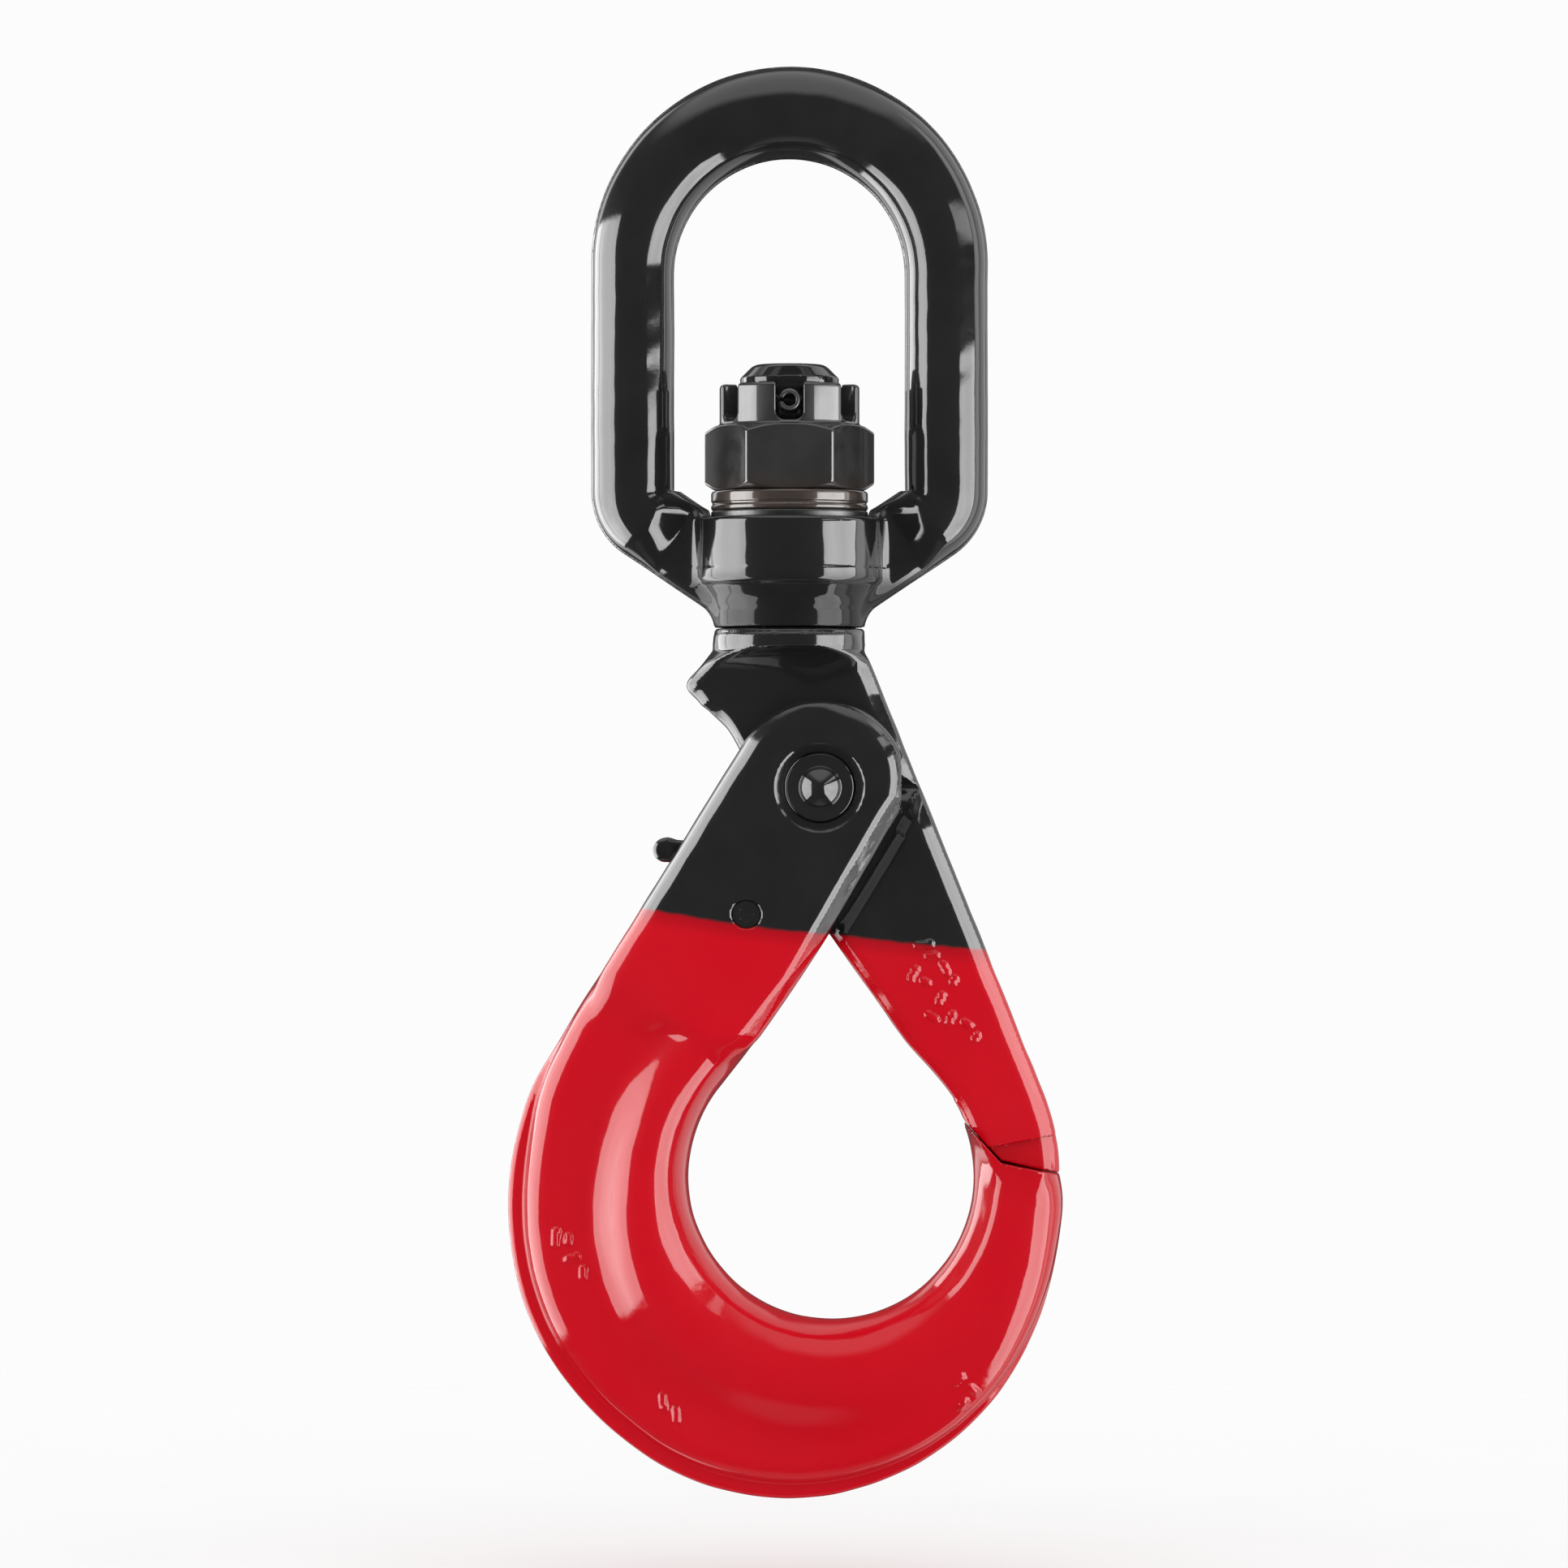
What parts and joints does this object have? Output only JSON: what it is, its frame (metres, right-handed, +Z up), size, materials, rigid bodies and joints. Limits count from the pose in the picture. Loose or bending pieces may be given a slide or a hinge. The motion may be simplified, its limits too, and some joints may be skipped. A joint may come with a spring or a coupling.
{
  "type": "swivel self-locking hook",
  "caption": "Forged lifting hook with a ball bearing swivel bow, a keeper arm and a pivoting hook body held shut by a sprung trigger.",
  "frame": {"origin": "load point inside the crown of the bow, on the swivel axis", "axes": "+Z up along the swivel axis towards the crown of the bow, +X towards the hook's tip, -Y to the front"},
  "size_m": [0.101, 0.0344, 0.2611],
  "materials": {
    "black_paint": "gloss black enamel over forged steel",
    "red_enamel": "gloss red enamel over forged steel, black above the paint line",
    "bronze": "turned bearing bronze",
    "bearing_steel": "ground and polished",
    "cage_brass": "pressed brass",
    "black_oxide": "blackened and oiled",
    "pin_steel": "rolled spring steel",
    "spring_wire": "drawn spring wire"
  },
  "bodies": {
    "bow": {"swivel_bow": "black_paint", "bow_bush": "bronze", "bearing_lower_race": "bearing_steel"},
    "ball_ring": {"bearing_balls": "bearing_steel", "bearing_cage": "cage_brass"},
    "arm": {"hook_arm": "black_paint", "bearing_upper_race": "bearing_steel", "thrust_washer": "black_oxide", "castle_nut": "black_paint", "nut_lock_pin": "pin_steel"},
    "hook": {"hook_body": "red_enamel", "load_pin": "black_paint", "trigger_pin": "pin_steel", "trigger_spring": "spring_wire"},
    "trigger": {"trigger": "black_oxide"}
  },
  "joints": [
    {"name": "swivel", "type": "hinge", "parent": "bow", "child": "arm", "pos_m": [0, 0, -0.0677], "axis": [0, 0, 1], "continuous": true},
    {"name": "ball_orbit", "type": "hinge", "parent": "bow", "child": "ball_ring", "pos_m": [0, 0, -0.0677], "axis": [0, 0, 1], "continuous": true},
    {"name": "hook_open", "type": "hinge", "parent": "arm", "child": "hook", "pos_m": [0.0055, 0, -0.1144], "axis": [0, 1, 0], "range_deg": [0, 34]},
    {"name": "trigger_release", "type": "hinge", "parent": "hook", "child": "trigger", "pos_m": [-0.0078, 0, -0.1373], "axis": [0, -1, 0], "range_deg": [0, 14], "deforming": ["trigger_spring"]}
  ],
  "couplings": [
    {"joint": "ball_orbit", "follows": "swivel", "ratio": 0.5},
    {"joint": "trigger_release", "follows": "hook_open", "ratio": 0.4}
  ]
}
